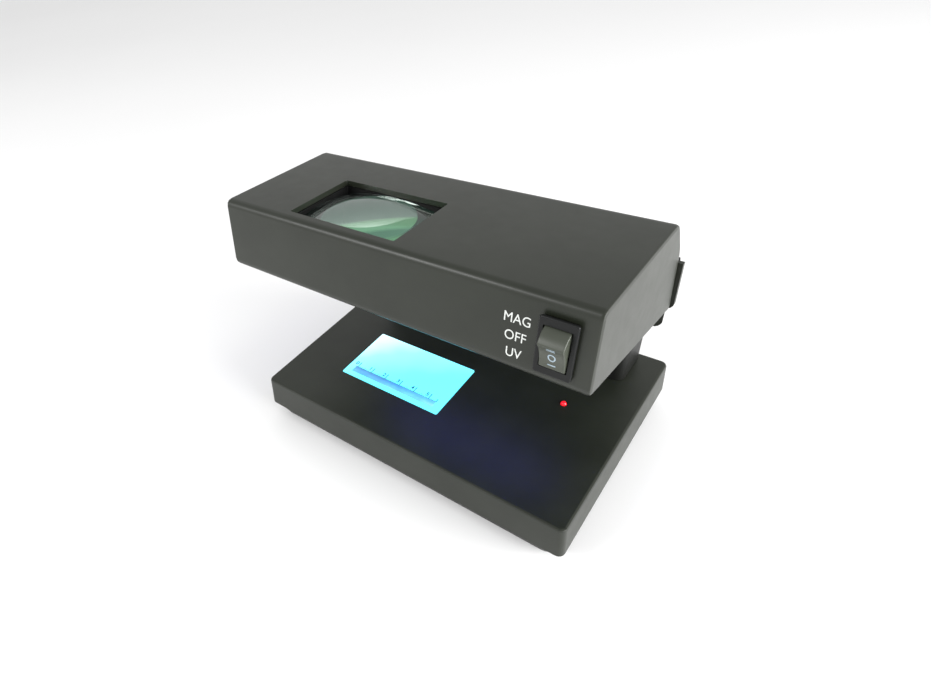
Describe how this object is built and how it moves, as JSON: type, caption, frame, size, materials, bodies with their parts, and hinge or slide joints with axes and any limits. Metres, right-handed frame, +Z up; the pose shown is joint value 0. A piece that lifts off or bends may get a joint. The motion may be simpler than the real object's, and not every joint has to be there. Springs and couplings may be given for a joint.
{
  "type": "counterfeit bill detector",
  "caption": "Tabletop banknote checker: flat base with lit watermark panel and ruler, back column carrying a wide head with ultraviolet lamp, magnifier window and rocker switch.",
  "frame": {"origin": "on the ground, at the centre of the object's box seen from above", "axes": "+X to the right, +Y to the back, away from the user, +Z up"},
  "size_m": [0.1864, 0.1366, 0.1456],
  "materials": {
    "black_plastic": "fine matt texture",
    "satin_black_plastic": "satin",
    "rubber": "matt",
    "steel": "zinc plated",
    "copper": "drawn",
    "panel_acrylic": "lit opal acrylic",
    "white_plastic": "matt",
    "red_lens": "clear red",
    "circuit_board": "solder mask",
    "lens_glass": "polished",
    "lamp_glass": "dark violet filter glass",
    "reflector": "polished sheet",
    "wire_insulation": "matt"
  },
  "bodies": {
    "housing": {"base_top_shell": "black_plastic", "base_bottom_cover": "black_plastic", "rubber_foot_1": "rubber", "rubber_foot_2": "rubber", "rubber_foot_3": "rubber", "rubber_foot_4": "rubber", "base_screw_1": "steel", "base_screw_2": "steel", "base_screw_3": "steel", "base_screw_4": "steel", "watermark_panel": "panel_acrylic", "watermark_light_box": "white_plastic", "watermark_led_board": "white_plastic", "indicator_led": "red_lens", "control_board": "circuit_board", "lamp_transformer": "copper", "buzzer": "satin_black_plastic", "led_carrier": "white_plastic", "power_inlet": "satin_black_plastic", "column_shell": "black_plastic", "column_back_cover": "black_plastic", "column_screw_1": "steel", "column_screw_2": "steel", "column_screw_3": "steel", "column_screw_4": "steel", "neck_yoke": "black_plastic", "head_mounting_plate": "black_plastic", "magnetic_sensor_housing": "satin_black_plastic", "magnetic_sensor_head": "steel", "head_top_shell": "black_plastic", "head_bottom_cover": "black_plastic", "head_screw_1": "steel", "head_screw_2": "steel", "head_screw_3": "steel", "head_screw_4": "steel", "magnifier_lens": "lens_glass", "lens_frame": "satin_black_plastic", "viewing_tunnel": "satin_black_plastic", "uv_tube": "lamp_glass", "lamp_cap_left": "steel", "lamp_cap_right": "steel", "lamp_holder_left": "white_plastic", "lamp_holder_right": "white_plastic", "lamp_reflector": "reflector", "ballast_board": "circuit_board", "ballast_coil": "copper", "ballast_capacitor": "satin_black_plastic", "switch_housing": "satin_black_plastic", "switch_terminal_1": "copper", "switch_terminal_2": "copper", "switch_terminal_3": "copper", "wire_harness": "wire_insulation"},
    "rocker": {"switch_rocker": "satin_black_plastic"}
  },
  "joints": [
    {"name": "switch_hinge", "type": "hinge", "parent": "housing", "child": "rocker", "pos_m": [0.0778, -0.06024, 0.12785], "axis": [-1, 0, 0], "range_deg": [0, 40]}
  ]
}
